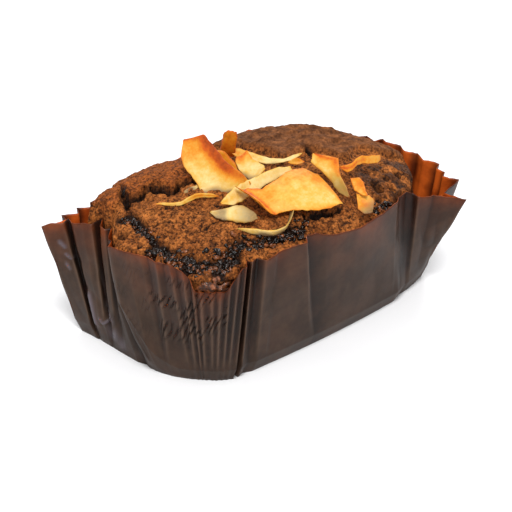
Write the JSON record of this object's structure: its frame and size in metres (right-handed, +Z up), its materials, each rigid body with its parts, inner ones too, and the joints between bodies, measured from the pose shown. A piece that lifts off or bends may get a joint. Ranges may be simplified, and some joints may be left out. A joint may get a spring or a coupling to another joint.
{
  "type": "brownie",
  "caption": "Small loaf-shaped chocolate brownie with a cracked crust and toasted coconut chips, in its pleated brown paper baking case.",
  "frame": {"origin": "middle of the flat underside of the paper case", "axes": "+X along the loaf, from the near end to the far end; +Y from the front long wall to the rear one; +Z up"},
  "size_m": [0.1024, 0.0674, 0.0543],
  "materials": {
    "baking_paper": "dark brown greaseproof paper with a soft sheen",
    "chocolate_crumb": "dull baked crust over moist dark crumb",
    "toasted_coconut": "satin, cream to toasted orange"
  },
  "bodies": {
    "root": {"paper_case": "baking_paper", "brownie": "chocolate_crumb", "coconut_chip_01": "toasted_coconut", "coconut_chip_02": "toasted_coconut", "coconut_chip_03": "toasted_coconut", "coconut_chip_04": "toasted_coconut", "coconut_chip_05": "toasted_coconut", "coconut_chip_06": "toasted_coconut", "coconut_chip_07": "toasted_coconut", "coconut_chip_08": "toasted_coconut", "coconut_chip_09": "toasted_coconut", "coconut_chip_10": "toasted_coconut", "coconut_chip_11": "toasted_coconut", "coconut_chip_12": "toasted_coconut", "coconut_chip_13": "toasted_coconut", "coconut_chip_14": "toasted_coconut", "coconut_chip_15": "toasted_coconut", "coconut_chip_16": "toasted_coconut"}
  },
  "joints": []
}
